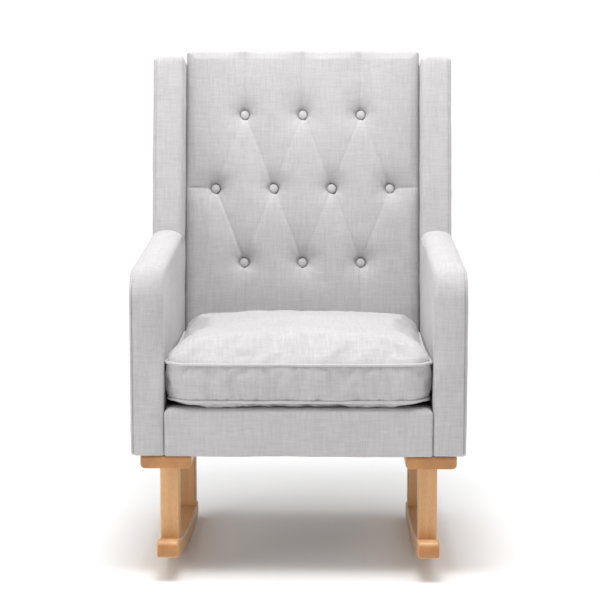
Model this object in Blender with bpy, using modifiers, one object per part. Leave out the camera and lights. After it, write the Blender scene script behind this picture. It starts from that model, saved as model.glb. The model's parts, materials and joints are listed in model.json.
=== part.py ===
"""Upholstered rocking chair: beech rocker base, sprung seat, padded arms, button back with wings
and a loose, piped seat cushion.

X runs across the chair, Y from the arm fronts to the back, Z up from the floor. Every piece is
placed in the frame of the empty "chair_origin", whose Y is 0 at the arm fronts; the empty itself
stands so that the world origin is on the floor under the middle of the whole chair.
"""
import math

import bmesh
import bpy
from mathutils import Vector

GAP = 0.0003  # clearance between pieces that touch

# Whole chair
WIDTH = 0.640
SEAT_WIDTH = 0.5124
BODY_Z = 0.2315  # underside of the seat frame
RAIL_TOP_Z = 0.3238  # top of the padded front rail and of the seat deck
RECLINE = math.radians(9.6)
BACK_Y, BACK_Z = 0.4633, 0.2500  # a point on the front plane of the back panel
BACK_HEIGHT = 0.777  # along the recline, from BACK_Z to the top of the panel
BACK_DEPTH = 0.115  # from the front plane of the panel to the outside back

# Rockers
RUNNER_X = 0.2470
RUNNER_WIDTH = 0.041
RUNNER_THICKNESS = 0.035
RUNNER_RADIUS = 1.57
CONTACT_Y = 0.340  # middle of the flat on which the chair comes to rest
CONTACT_FLAT = 0.090
TOE_Y, HEEL_Y = -0.045, 0.462
LEG_WIDTH = 0.036
LEG_DEPTH = 0.038
LEG_FRONTS = {"front": 0.010, "rear": 0.415}
TENON_WIDTH, TENON_DEPTH, TENON_LENGTH = 0.016, 0.024, 0.013
PLANK_X = 0.2531
PLANK_WIDTH = 0.098
PLANK_THICKNESS = 0.0236
PLANK_Y = (0.004, 0.470)

# Fasteners between planks and seat body
BOLT_YS = (0.110, 0.360)
BOLT_RADIUS = 0.003
BOLT_LENGTH = 0.052
BOLT_HEAD_RADIUS, BOLT_HEAD_HEIGHT = 0.0075, 0.0042

# Seat frame
RAIL_THICKNESS = 0.045
FRONT_RAIL_Y = (0.0125, 0.0505)
REAR_RAIL_Y = (0.4620, 0.4900)
SPRING_RAIL_Z = 0.3080  # top of the front and rear rails, which carry the springs
DECK_THICKNESS = 0.0103
FRONT_PAD = 0.0122
SPRING_XS = (-0.15, -0.05, 0.05, 0.15)
SPRING_WIRE_RADIUS = 0.0018
SPRING_SWING = 0.022
SPRING_WAVES = 8
SPRING_TAIL = 0.020  # straight stretch at each end, over the rail

# Arms and wings
ARM_CREST = (0.445, 0.630)  # Y and Z of the arm's top line where the wing stands
ARM_SLOPE = math.tan(math.radians(5.0))
ARM_FRONT_RADIUS = 0.065
ARM_PAD = 0.014
ARM_CORE_THICKNESS = 0.036
ARM_CORE_REAR = 0.070  # across the recline, where the plywood of arm and wing ends
WING_FRONT = -0.081  # across the recline, from the panel's front plane
WING_HEIGHT = 0.757
WING_CORE_THICKNESS = 0.018
WING_PAD = 0.020  # padding in front of and above the plywood
WING_CORNER = 0.020
WING_EDGE = 0.014
WING_HOLLOW_DROP = 0.010  # how far the hollow's cutter passes through the foot

# Back
FOAM_THICKNESS = 0.0260
CLOTH_THICKNESS = 0.0020
OUTSIDE_THICKNESS = 0.0040
TOP_PAD = 0.014
BACK_FOOT = 0.086  # lower end of the panel along the recline, just above the deck
STILE_WIDTH = 0.022
BACK_RAIL_WIDTH = 0.022
BUTTON_RADIUS = 0.010
BUTTON_THICKNESS = 0.007
BUTTON_SINK = 0.010  # from the panel's front plane to the button's face
BUTTON_ROWS = ((0.310, 3), (0.473, 4), (0.636, 3))  # height along the recline, buttons in the row
BUTTON_PITCH = 0.1275

# Loose seat cushion
PIPING_RADIUS = 0.0028
PIPING_HALF_WIDTH = 0.2528
PIPING_Y = (-0.0010, 0.4690)
PIPING_CORNER = 0.035
PIPING_ZS = {"lower": 0.3372, "upper": 0.4085}
CUSHION_TOP_Z = 0.4465
CUSHION_PROFILE = (  # (inset, height above the underside), from the underside to the top of the crown
    (0.0105, 0.0), (0.0031, 0.0031), (0.0, 0.0105), (0.0, 0.0875),
    (0.0035, 0.0965), (0.0115, 0.1080), (0.0270, 0.1175), (0.0500, CUSHION_TOP_Z - RAIL_TOP_Z - GAP),
)
CUSHION_CROWN_CORNER = 0.006

BEECH = ("beech", (0.72, 0.50, 0.31), 0.45, 0.0)
FRAME_WOOD = ("frame_wood", (0.62, 0.49, 0.33), 0.70, 0.0)
FABRIC = ("grey_fabric", (0.62, 0.61, 0.62), 0.95, 0.0)
LINING = ("dark_lining", (0.08, 0.08, 0.09), 0.95, 0.0)
STEEL = ("steel", (0.55, 0.56, 0.58), 0.35, 1.0)


# Frame of the parts -------------------------------------------------------------------------

def back_point(v, w):
    """Y and Z of a point v behind the panel's front plane and w up along the recline."""
    return (
        BACK_Y + w * math.sin(RECLINE) + v * math.cos(RECLINE),
        BACK_Z + w * math.cos(RECLINE) - v * math.sin(RECLINE),
    )


def back_y(v, z):
    """Y at height z of the plane that lies v behind the panel's front plane."""
    return BACK_Y + v / math.cos(RECLINE) + (z - BACK_Z) * math.tan(RECLINE)


def arm_top(y):
    return ARM_CREST[1] + ARM_SLOPE * (y - ARM_CREST[0])


def runner_z(y, height=0.0):
    """Z of the runner's rolling surface at y, or of the curve a height above it."""
    centre_z = math.sqrt(RUNNER_RADIUS ** 2 - (CONTACT_FLAT / 2) ** 2)
    return centre_z - math.sqrt((RUNNER_RADIUS - height) ** 2 - (y - CONTACT_Y) ** 2)


def leg_centre_y(place):
    return LEG_FRONTS[place] + LEG_DEPTH / 2


# Outlines -----------------------------------------------------------------------------------

def fillet(before, corner, after, radius, steps=4):
    """Points of the arc that rounds a corner between two straight edges."""
    before, corner, after = Vector(before), Vector(corner), Vector(after)
    to_before, to_after = (before - corner).normalized(), (after - corner).normalized()
    half_angle = to_before.angle(to_after) / 2
    centre = corner + (to_before + to_after).normalized() * radius / math.sin(half_angle)
    reach = radius / math.tan(half_angle)
    start, end = corner + to_before * reach - centre, corner + to_after * reach - centre
    turns = [start.slerp(end, step / steps).normalized() for step in range(steps + 1)]
    return [centre + turn * radius for turn in turns]


def outline(corners):
    """A closed outline from (a, b) corners, where (a, b, radius) corners are rounded."""
    points = []
    for index, corner in enumerate(corners):
        if len(corner) == 2:
            points.append(Vector(corner))
            continue
        before, after = corners[index - 1], corners[(index + 1) % len(corners)]
        points += fillet(before[:2], corner[:2], after[:2], corner[2])
    return points


def arc(centre, radius, start, end, steps):
    """Points on an arc from the start angle to the end angle, in degrees."""
    angles = [math.radians(start + (end - start) * step / steps) for step in range(steps + 1)]
    return [(centre[0] + radius * math.cos(a), centre[1] + radius * math.sin(a)) for a in angles]


def arm_front(inset, foot_z):
    """The arm's front and top line, from its foot to where the rounded front meets the top."""
    slope_angle = math.degrees(math.atan(ARM_SLOPE))
    rise = ARM_SLOPE * ARM_FRONT_RADIUS - ARM_FRONT_RADIUS * math.hypot(1.0, ARM_SLOPE)
    centre = (ARM_FRONT_RADIUS, arm_top(0.0) + rise)
    return [(inset, foot_z)] + arc(centre, ARM_FRONT_RADIUS - inset, 180, 90 + slope_angle, 10)


def arm_side(foot_z, rear):
    """The arm's side inside its top pad: front, top and reclined rear end."""
    top_z = arm_top(back_y(rear, ARM_CREST[1])) - ARM_PAD
    return arm_front(ARM_PAD, foot_z) + [(back_y(rear, top_z), top_z), (back_y(rear, foot_z), foot_z)]


def wing_side(front, rear, height, foot, radius):
    """A wing's side: it stands on the arm and leans back with the panel."""
    seat_z = ARM_CREST[1] - ARM_PAD + foot
    front_y, rear_y = back_y(front, seat_z), back_y(rear, seat_z)
    return outline([
        (front_y, seat_z + ARM_SLOPE * (front_y - ARM_CREST[0])),
        (rear_y, seat_z + ARM_SLOPE * (rear_y - ARM_CREST[0])),
        back_point(rear, height) + (radius,),
        back_point(front, height) + (radius,),
    ])


# Building -----------------------------------------------------------------------------------

def start_scene():
    for item in list(bpy.data.objects):
        bpy.data.objects.remove(item, do_unlink=True)
    for name in ("rocking_chair", "cutters"):
        collection = bpy.data.collections.new(name)
        bpy.context.scene.collection.children.link(collection)
    middle_y = (TOE_Y + back_point(BACK_DEPTH, BACK_HEIGHT)[0]) / 2
    origin = bpy.data.objects.new("chair_origin", None)
    origin.location = (0.0, -middle_y, 0.0)
    back = bpy.data.objects.new("back_origin", None)
    back.location = (0.0, BACK_Y, BACK_Z)
    back.rotation_euler = (-RECLINE, 0.0, 0.0)
    back.parent = origin
    for empty in (origin, back):
        bpy.data.collections["rocking_chair"].objects.link(empty)


def material(finish):
    name, colour, roughness, metallic = finish
    if name in bpy.data.materials:
        return bpy.data.materials[name]
    made = bpy.data.materials.new(name)
    made.use_nodes = True
    shader = made.node_tree.nodes["Principled BSDF"]
    shader.inputs["Base Color"].default_value = (*colour, 1.0)
    shader.inputs["Roughness"].default_value = roughness
    shader.inputs["Metallic"].default_value = metallic
    return made


def add_object(name, data, finish, parent="chair_origin", location=(0, 0, 0), rotation=(0, 0, 0)):
    """Put a named piece in the chair's frame, or a cutter when it has no finish."""
    item = bpy.data.objects.new(name, data)
    item.parent = bpy.data.objects[parent]
    item.location = location
    item.rotation_euler = rotation
    if finish is None:
        bpy.data.collections["cutters"].objects.link(item)
        item.hide_render = True
        item.display_type = "WIRE"
    else:
        bpy.data.collections["rocking_chair"].objects.link(item)
        data.materials.append(material(finish))
    return item


def round_edges(item, width, segments=2):
    bevel = item.modifiers.new("rounded edges", "BEVEL")
    bevel.width = width
    bevel.segments = segments
    bevel.limit_method = "ANGLE"
    bevel.angle_limit = math.radians(40)


def add_box(name, low, high, finish, parent="chair_origin", edge=0.0):
    """A box between two opposite corners."""
    low, high = Vector(low), Vector(high)
    shape = bmesh.new()
    bmesh.ops.create_cube(shape, size=1.0)
    bmesh.ops.scale(shape, vec=high - low, verts=shape.verts)
    mesh = bpy.data.meshes.new(name)
    shape.to_mesh(mesh)
    shape.free()
    item = add_object(name, mesh, finish, parent, (low + high) / 2)
    if edge:
        round_edges(item, edge)
    return item


def add_rod(name, centre, radius, depth, finish, parent="chair_origin", rotation=(0, 0, 0), sides=20):
    """A cylinder about its own Z axis."""
    shape = bmesh.new()
    bmesh.ops.create_cone(
        shape, cap_ends=True, segments=sides, radius1=radius, radius2=radius, depth=depth
    )
    mesh = bpy.data.meshes.new(name)
    shape.to_mesh(mesh)
    shape.free()
    return add_object(name, mesh, finish, parent, centre, rotation)


def as_mesh(item, finish):
    """Turn a curve object into a welded mesh object with flat faces kept whole."""
    bpy.context.view_layer.update()
    evaluated = item.evaluated_get(bpy.context.evaluated_depsgraph_get())
    mesh = bpy.data.meshes.new_from_object(evaluated)
    shape = bmesh.new()
    shape.from_mesh(mesh)
    bmesh.ops.remove_doubles(shape, verts=shape.verts, dist=0.00002)
    flat_angle = math.radians(0.2)
    bmesh.ops.dissolve_limit(shape, angle_limit=flat_angle, verts=shape.verts, edges=shape.edges)
    bmesh.ops.recalc_face_normals(shape, faces=shape.faces)
    shape.to_mesh(mesh)
    shape.free()
    name, parent = item.name, item.parent.name
    location, rotation = item.location.copy(), item.rotation_euler.copy()
    curve = item.data
    bpy.data.objects.remove(item, do_unlink=True)
    bpy.data.curves.remove(curve)
    mesh.materials.clear()
    return add_object(name, mesh, finish, parent, location, rotation)


PLATE_TURNS = {
    "x": (math.pi / 2, 0.0, math.pi / 2),  # outline in Y and Z
    "y": (math.pi / 2, 0.0, 0.0),  # outline in X and Z
    "z": (0.0, 0.0, 0.0),  # outline in X and Y
}


def add_plate(name, points, axis, low, high, finish, edge=0.0, segments=2):
    """A flat outline made thick along an axis, from low to high."""
    curve = bpy.data.curves.new(name, "CURVE")
    curve.dimensions = "2D"
    curve.fill_mode = "BOTH"
    curve.extrude = (high - low) / 2
    spline = curve.splines.new("POLY")
    spline.points.add(len(points) - 1)
    for knot, (a, b) in zip(spline.points, points):
        knot.co = (a, b, 0.0, 1.0)
    spline.use_cyclic_u = True
    location = Vector(((low + high) / 2 if axis == letter else 0.0) for letter in "xyz")
    item = add_object(name, curve, FABRIC, location=location, rotation=PLATE_TURNS[axis])
    item = as_mesh(item, finish)
    if edge:
        round_edges(item, edge, segments)
    return item


def add_lofted(name, rings, finish):
    """A closed solid through level rings of equally many points, the lowest first."""
    shape = bmesh.new()
    levels = [[shape.verts.new(point) for point in ring] for ring in rings]
    for ring, above in zip(levels, levels[1:]):
        for index, vert in enumerate(ring):
            after = (index + 1) % len(ring)
            shape.faces.new((vert, ring[after], above[after], above[index]))
    shape.faces.new(levels[0])
    shape.faces.new(levels[-1])
    bmesh.ops.recalc_face_normals(shape, faces=shape.faces)
    mesh = bpy.data.meshes.new(name)
    shape.to_mesh(mesh)
    shape.free()
    return add_object(name, mesh, finish)


def add_wire(name, points, radius, finish, closed=False, resolution=2):
    """A round wire or cord through the points."""
    curve = bpy.data.curves.new(name, "CURVE")
    curve.dimensions = "3D"
    curve.bevel_depth = radius
    curve.bevel_resolution = resolution
    curve.use_fill_caps = not closed
    spline = curve.splines.new("POLY")
    spline.points.add(len(points) - 1)
    for knot, point in zip(spline.points, points):
        knot.co = (*point, 1.0)
    spline.use_cyclic_u = closed
    return as_mesh(add_object(name, curve, FABRIC), finish)


def add_turned(name, profile, finish, location, parent="chair_origin", rotation=(0, 0, 0), steps=12):
    """A turned piece from a profile of (radius, z) points, top to bottom."""
    shape = bmesh.new()
    points = [shape.verts.new((radius, 0.0, z)) for radius, z in profile]
    for first, second in zip(points, points[1:]):
        shape.edges.new((first, second))
    mesh = bpy.data.meshes.new(name)
    shape.to_mesh(mesh)
    shape.free()
    item = add_object(name, mesh, finish, parent, location, rotation)
    screw = item.modifiers.new("turned", "SCREW")
    screw.steps = steps
    screw.render_steps = steps
    screw.use_merge_vertices = True
    screw.merge_threshold = 0.00002
    return item


def combine(item, other, operation):
    change = item.modifiers.new(other.name, "BOOLEAN")
    change.operation = operation
    change.object = other


# Rocker base --------------------------------------------------------------------------------

def runner_outline():
    """The runner's side: rolling surface, heel, upper curve and toe."""
    spacing = 0.030
    nose = 0.030  # stretch at each end that the rounded corners take up
    tread_radius, nose_radius = 0.005, 0.016
    half_flat = CONTACT_FLAT / 2
    ahead = int((CONTACT_Y - half_flat - TOE_Y - nose) / spacing)
    behind = int((HEEL_Y - nose - CONTACT_Y - half_flat) / spacing)
    bottom_ys = [CONTACT_Y - half_flat - spacing * n for n in range(ahead, -1, -1)]
    bottom_ys += [CONTACT_Y + half_flat + spacing * n for n in range(behind + 1)]
    top_count = 16
    top_length = HEEL_Y - TOE_Y - 2 * nose
    top_ys = [HEEL_Y - nose - top_length * n / top_count for n in range(top_count + 1)]
    thickness = RUNNER_THICKNESS
    corners = [(TOE_Y, runner_z(TOE_Y), tread_radius)]
    corners += [(y, runner_z(y)) for y in bottom_ys]
    corners.append((HEEL_Y, runner_z(HEEL_Y), tread_radius))
    corners.append((HEEL_Y, runner_z(HEEL_Y, thickness), nose_radius))
    corners += [(y, runner_z(y, thickness)) for y in top_ys]
    corners.append((TOE_Y, runner_z(TOE_Y, thickness), nose_radius))
    return outline(corners)


def add_tenon(leg, middle_y, low_z, high_z, side_x):
    """A tenon on the leg, and a cutter for its mortise."""
    pieces = []
    for suffix, room in (("tenon", 0.0), ("mortise", GAP)):
        half_x, half_y = TENON_WIDTH / 2 + room, TENON_DEPTH / 2 + room
        low = (side_x - half_x, middle_y - half_y, low_z - room)
        high = (side_x + half_x, middle_y + half_y, high_z + room)
        pieces.append(add_box(f"{leg.name}_{suffix}_{round(low_z * 1000)}", low, high, None))
    combine(leg, pieces[0], "UNION")
    return pieces[1]


def add_base(side, sign):
    """One rocker: runner, two tenoned legs and the plank that is bolted under the seat."""
    x = sign * RUNNER_X
    plank_low, plank_high = BODY_Z - GAP - PLANK_THICKNESS, BODY_Z - GAP
    half = RUNNER_WIDTH / 2
    runner_edge, leg_edge = 0.004, 0.0025
    runner = add_plate(f"{side}_runner", runner_outline(), "x", x - half, x + half, BEECH, runner_edge)
    half = PLANK_WIDTH / 2
    soft, crisp = 0.009, 0.002
    plank_section = outline([
        (sign * PLANK_X - half, plank_low, soft),
        (sign * PLANK_X + half, plank_low, soft),
        (sign * PLANK_X + half, plank_high, crisp),
        (sign * PLANK_X - half, plank_high, crisp),
    ])
    plank = add_plate(f"{side}_mounting_plank", plank_section, "y", *PLANK_Y, BEECH)
    for place, front in LEG_FRONTS.items():
        foot_ys = [front + LEG_DEPTH * step / 4 for step in range(5)]
        leg_side = [(y, runner_z(y, RUNNER_THICKNESS + GAP)) for y in foot_ys]
        leg_side += [(front + LEG_DEPTH, plank_low - GAP), (front, plank_low - GAP)]
        half = LEG_WIDTH / 2
        leg = add_plate(f"{side}_{place}_leg", leg_side, "x", x - half, x + half, BEECH, leg_edge)
        middle_y = leg_centre_y(place)
        foot_z = runner_z(middle_y, RUNNER_THICKNESS)
        overlap = 0.006  # how far a tenon reaches back into its leg
        mortise = add_tenon(leg, middle_y, foot_z - TENON_LENGTH, foot_z + overlap, x)
        combine(runner, mortise, "DIFFERENCE")
        mortise = add_tenon(leg, middle_y, plank_low - overlap, plank_low + TENON_LENGTH, x)
        combine(plank, mortise, "DIFFERENCE")
    return plank


def add_bolts(side, sign, plank, seat_rail, arm_core):
    """Button-head socket bolts that hold the plank under the seat rail and under the arm."""
    head_z = BODY_Z - GAP - PLANK_THICKNESS - GAP
    socket_radius, socket_depth = 0.0026, 0.0024
    head_edge, crown_radius = 0.0018, 0.0053
    profile = [
        (0.0, BOLT_LENGTH),
        (BOLT_RADIUS, BOLT_LENGTH),
        (BOLT_RADIUS, 0.0),
        (BOLT_HEAD_RADIUS, 0.0),
        (BOLT_HEAD_RADIUS, -head_edge),
        (crown_radius, -BOLT_HEAD_HEIGHT),
        (socket_radius, -BOLT_HEAD_HEIGHT),
        (socket_radius, socket_depth - BOLT_HEAD_HEIGHT),
        (0.0, socket_depth - BOLT_HEAD_HEIGHT),
    ]
    rail_x = SEAT_WIDTH / 2 - RAIL_THICKNESS / 2
    arm_x = WIDTH / 2 - (WIDTH - SEAT_WIDTH) / 4
    for where, bolt_x, upper in (("rail", rail_x, seat_rail), ("arm", arm_x, arm_core)):
        for place, y in zip(("front", "rear"), BOLT_YS):
            name = f"{side}_{place}_{where}_bolt"
            add_turned(name, profile, STEEL, (sign * bolt_x, y, head_z))
            depth = 2 * (BOLT_LENGTH + GAP)
            hole = add_rod(
                f"{name}_hole", (sign * bolt_x, y, head_z), BOLT_RADIUS + 2 * GAP, depth, None
            )
            combine(plank, hole, "DIFFERENCE")
            combine(upper, hole, "DIFFERENCE")


# Seat ---------------------------------------------------------------------------------------

def add_seat_frame():
    """Four rails between the arms; the long side rails also carry the back's stiles."""
    half = SEAT_WIDTH / 2 - 2 * GAP
    inner = SEAT_WIDTH / 2 - RAIL_THICKNESS
    side_rear_y = back_y(FOAM_THICKNESS + CLOTH_THICKNESS, BODY_Z) - GAP
    rails = {}
    for side, sign in (("left", -1), ("right", 1)):
        xs = sorted((sign * inner, sign * half))
        low = (xs[0], FRONT_RAIL_Y[1] + GAP, BODY_Z)
        high = (xs[1], side_rear_y, RAIL_TOP_Z - DECK_THICKNESS - GAP)
        rails[side] = add_box(f"{side}_seat_rail", low, high, FRAME_WOOD)
    front_low = (-half, FRONT_RAIL_Y[0], BODY_Z)
    front_high = (half, FRONT_RAIL_Y[1], SPRING_RAIL_Z)
    add_box("front_seat_rail", front_low, front_high, FRAME_WOOD)
    rear_low = (-inner + GAP, REAR_RAIL_Y[0], BODY_Z)
    rear_high = (inner - GAP, REAR_RAIL_Y[1], SPRING_RAIL_Z)
    add_box("rear_seat_rail", rear_low, rear_high, FRAME_WOOD)
    return rails


def spring_points(x):
    """A zigzag seat spring: a tail over the front rail, even waves, a tail over the rear rail."""
    z = SPRING_RAIL_Z + GAP + SPRING_WIRE_RADIUS
    front_margin, rear_margin = 0.004, 0.002
    start, end = FRONT_RAIL_Y[0] + front_margin, REAR_RAIL_Y[1] - rear_margin
    first, last = start + SPRING_TAIL, end - SPRING_TAIL
    steps_per_wave = 8
    count = SPRING_WAVES * steps_per_wave
    points = [(x, start, z)]
    for step in range(count + 1):
        swing = SPRING_SWING * math.sin(2 * math.pi * step / steps_per_wave)
        points.append((x + swing, first + (last - first) * step / count, z))
    points.append((x, end, z))
    return points


def add_seat_upholstery():
    half = SEAT_WIDTH / 2 - 2 * GAP
    for number, x in enumerate(SPRING_XS, 1):
        add_wire(f"seat_spring_{number}", spring_points(x), SPRING_WIRE_RADIUS, STEEL, resolution=1)
    deck_z = RAIL_TOP_Z - DECK_THICKNESS
    lip_y = FRONT_RAIL_Y[1]
    lip_radius, deck_overhang, cover_thickness = 0.006, 0.004, 0.0012
    front_pad = [
        (0.0, BODY_Z),
        (FRONT_PAD, BODY_Z),
        (FRONT_PAD, deck_z),
        (lip_y, deck_z),
        (lip_y, RAIL_TOP_Z),
        (0.0, RAIL_TOP_Z, lip_radius),
    ]
    add_plate("front_rail_pad", outline(front_pad), "x", -half, half, FABRIC)
    deck_low = (-half, lip_y + GAP, deck_z)
    deck_high = (half, REAR_RAIL_Y[1] + deck_overhang, RAIL_TOP_Z)
    add_box("seat_deck", deck_low, deck_high, LINING)
    inner = SEAT_WIDTH / 2 - RAIL_THICKNESS - 2 * GAP
    cover_low = (-inner, FRONT_RAIL_Y[1] + GAP, BODY_Z)
    cover_high = (inner, REAR_RAIL_Y[0] - GAP, BODY_Z + cover_thickness)
    add_box("dust_cover", cover_low, cover_high, LINING)


# Arms and wings -----------------------------------------------------------------------------

def add_arm(side, sign):
    """A plywood arm panel with inner, outer and top pads."""
    inside, outside = SEAT_WIDTH / 2, WIDTH / 2
    core_inside = (inside + outside - ARM_CORE_THICKNESS) / 2
    core_outside = core_inside + ARM_CORE_THICKNESS
    rear = BACK_DEPTH - GAP

    def along_x(name, points, near, far, finish, edge=0.0):
        low, high = sorted((sign * near, sign * far))
        return add_plate(f"{side}_{name}", points, "x", low, high, finish, edge)

    core = along_x("arm_panel", arm_side(BODY_Z, ARM_CORE_REAR), core_inside, core_outside, FRAME_WOOD)
    along_x("arm_inner_pad", arm_side(BODY_Z, rear), inside, core_inside - GAP, FABRIC)
    along_x("arm_outer_pad", arm_side(BODY_Z, rear), core_outside + GAP, outside, FABRIC)
    outer_line = arm_front(0.0, BODY_Z)
    inner_line = arm_front(ARM_PAD - GAP, BODY_Z)
    end_top_z = ARM_CREST[1]
    end_low_z = ARM_CREST[1] - ARM_PAD + GAP
    end = WING_FRONT - GAP
    band = outer_line + [(back_y(end, end_top_z), end_top_z), (back_y(end, end_low_z), end_low_z)]
    along_x("arm_top_pad", band + inner_line[::-1], inside, outside, FABRIC)
    return core


def core_room(front, rear, height):
    """The wing core's side with clearance, let out through the foot of the cover."""
    return wing_side(front - GAP, rear + GAP, height + GAP, -WING_HOLLOW_DROP, WING_CORNER)


def add_wing(side, sign):
    """A wing: a plywood core that stands on the arm panel, inside a soft cover open at the foot."""
    inside, outside = SEAT_WIDTH / 2, WIDTH / 2
    middle = (inside + outside) / 2
    core_front, core_height = WING_FRONT + WING_PAD, WING_HEIGHT - WING_PAD
    core_side = wing_side(core_front, ARM_CORE_REAR, core_height, GAP, WING_CORNER)
    half = WING_CORE_THICKNESS / 2
    low, high = sorted((sign * (middle - half), sign * (middle + half)))
    add_plate(f"{side}_wing_core", core_side, "x", low, high, FRAME_WOOD)
    room = core_room(core_front, ARM_CORE_REAR, core_height)
    hollow = add_plate(f"{side}_wing_hollow", room, "x", low - GAP, high + GAP, None)
    low, high = sorted((sign * inside, sign * outside))
    pad_side = wing_side(WING_FRONT, BACK_DEPTH, WING_HEIGHT, GAP, WING_CORNER)
    pad = add_plate(f"{side}_wing_pad", pad_side, "x", low, high, FABRIC, WING_EDGE, 3)
    combine(pad, hollow, "DIFFERENCE")


# Back ---------------------------------------------------------------------------------------

def add_back():
    """Frame, support cloth, buttoned panel and outside back, all leaning with the recline."""
    half = SEAT_WIDTH / 2 - 2 * GAP
    frame_front = FOAM_THICKNESS + CLOTH_THICKNESS + GAP
    frame_rear = BACK_DEPTH - OUTSIDE_THICKNESS - GAP
    frame_top = BACK_HEIGHT - TOP_PAD - GAP
    stile_foot, outside_foot, cloth_margin, panel_top_radius = 0.002, 0.003, 0.003, 0.010
    for side, sign in (("left", -1), ("right", 1)):
        xs = sorted((sign * half, sign * (half - STILE_WIDTH)))
        low, high = (xs[0], frame_front, stile_foot), (xs[1], frame_rear, frame_top)
        add_box(f"{side}_back_stile", low, high, FRAME_WOOD, "back_origin")
    inner = half - STILE_WIDTH - GAP
    for name, foot in (("back_top_rail", frame_top - BACK_RAIL_WIDTH), ("back_lower_rail", BACK_FOOT)):
        low, high = (-inner, frame_front, foot), (inner, frame_rear, foot + BACK_RAIL_WIDTH)
        add_box(name, low, high, FRAME_WOOD, "back_origin")
    cloth_low = (-half, FOAM_THICKNESS + GAP, BACK_FOOT + cloth_margin)
    cloth_high = (half, FOAM_THICKNESS + CLOTH_THICKNESS, frame_top)
    add_box("back_support_cloth", cloth_low, cloth_high, LINING, "back_origin")
    outside_low = (-half, BACK_DEPTH - OUTSIDE_THICKNESS, outside_foot)
    add_box("outside_back", outside_low, (half, BACK_DEPTH, BACK_HEIGHT), FABRIC, "back_origin")
    panel_side = outline([
        back_point(0.0, BACK_FOOT),
        back_point(FOAM_THICKNESS, BACK_FOOT),
        back_point(FOAM_THICKNESS, BACK_HEIGHT - TOP_PAD),
        back_point(frame_rear, BACK_HEIGHT - TOP_PAD),
        back_point(frame_rear, BACK_HEIGHT),
        back_point(0.0, BACK_HEIGHT) + (panel_top_radius,),
    ])
    return add_plate("back_panel", panel_side, "x", -half, half, FABRIC)


def add_buttons(panel):
    """Covered tufting buttons, each sunk in its own well in the panel."""
    thickness, radius = BUTTON_THICKNESS, BUTTON_RADIUS
    profile = [
        (0.0, thickness / 2),
        (radius * 0.62, thickness * 0.40),
        (radius * 0.92, thickness * 0.10),
        (radius, -thickness * 0.15),
        (radius * 0.86, -thickness / 2),
        (0.0, -thickness / 2),
    ]
    facing_front = (math.pi / 2, 0.0, 0.0)
    well_radius, well_floor = 0.0125, 0.0008
    number = 0
    for w, count in BUTTON_ROWS:
        for place in range(count):
            number += 1
            x = (place - (count - 1) / 2) * BUTTON_PITCH
            centre = (x, BUTTON_SINK + thickness / 2, w)
            add_turned(f"tuft_button_{number:02d}", profile, FABRIC, centre, "back_origin", facing_front)
            depth = 2 * (BUTTON_SINK + thickness + well_floor)
            name, centre = f"button_well_{number:02d}", (x, 0.0, w)
            well = add_rod(name, centre, well_radius, depth, None, "back_origin", facing_front, 16)
            combine(panel, well, "DIFFERENCE")


# Seat cushion -------------------------------------------------------------------------------

def cushion_outline(inset):
    """The cushion's plan, a rectangle with rounded corners."""
    half = PIPING_HALF_WIDTH - inset
    front, rear = PIPING_Y[0] + inset, PIPING_Y[1] - inset
    radius = max(PIPING_CORNER - inset, CUSHION_CROWN_CORNER)
    return outline([
        (half, front, radius), (half, rear, radius), (-half, rear, radius), (-half, front, radius),
    ])


def add_cushion():
    """A loose box cushion with piped edges and a zip in its rear band."""
    bottom_z = RAIL_TOP_Z + GAP
    inset = PIPING_RADIUS + GAP
    add_lofted("seat_cushion", [
        [(x, y, bottom_z + height) for x, y in cushion_outline(inset + further)]
        for further, height in CUSHION_PROFILE
    ], FABRIC)
    for level, z in PIPING_ZS.items():
        loop = [(x, y, z) for x, y in cushion_outline(0.0)]
        add_wire(f"{level}_piping", loop, PIPING_RADIUS, FABRIC, closed=True)
    zip_y = PIPING_Y[1] - inset + GAP
    middle_z = (PIPING_ZS["lower"] + PIPING_ZS["upper"]) / 2
    zip_length, zip_width, zip_thickness = 0.360, 0.022, 0.0016
    add_box(
        "cushion_zip", (-zip_length / 2, zip_y, middle_z - zip_width / 2),
        (zip_length / 2, zip_y + zip_thickness, middle_z + zip_width / 2), LINING,
    )


def smooth_round_faces():
    for item in bpy.data.collections["rocking_chair"].objects:
        if item.type == "MESH":
            item.data.shade_smooth()
            item.data.set_sharp_from_angle(angle=math.radians(30))


def main():
    start_scene()
    rails = add_seat_frame()
    for side, sign in (("left", -1), ("right", 1)):
        plank = add_base(side, sign)
        core = add_arm(side, sign)
        add_bolts(side, sign, plank, rails[side], core)
        add_wing(side, sign)
    add_seat_upholstery()
    add_buttons(add_back())
    add_cushion()
    smooth_round_faces()


main()
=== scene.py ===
"""Looks of the upholstered rocking chair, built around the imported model.

Soft pieces, wood and fittings are made here as finished meshes that stand for the plain CAD solids.
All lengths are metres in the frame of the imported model: X across, Y to the back, Z up.
"""
import json
import math

import bmesh
import bpy
import numpy as np
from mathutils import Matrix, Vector, noise


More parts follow.
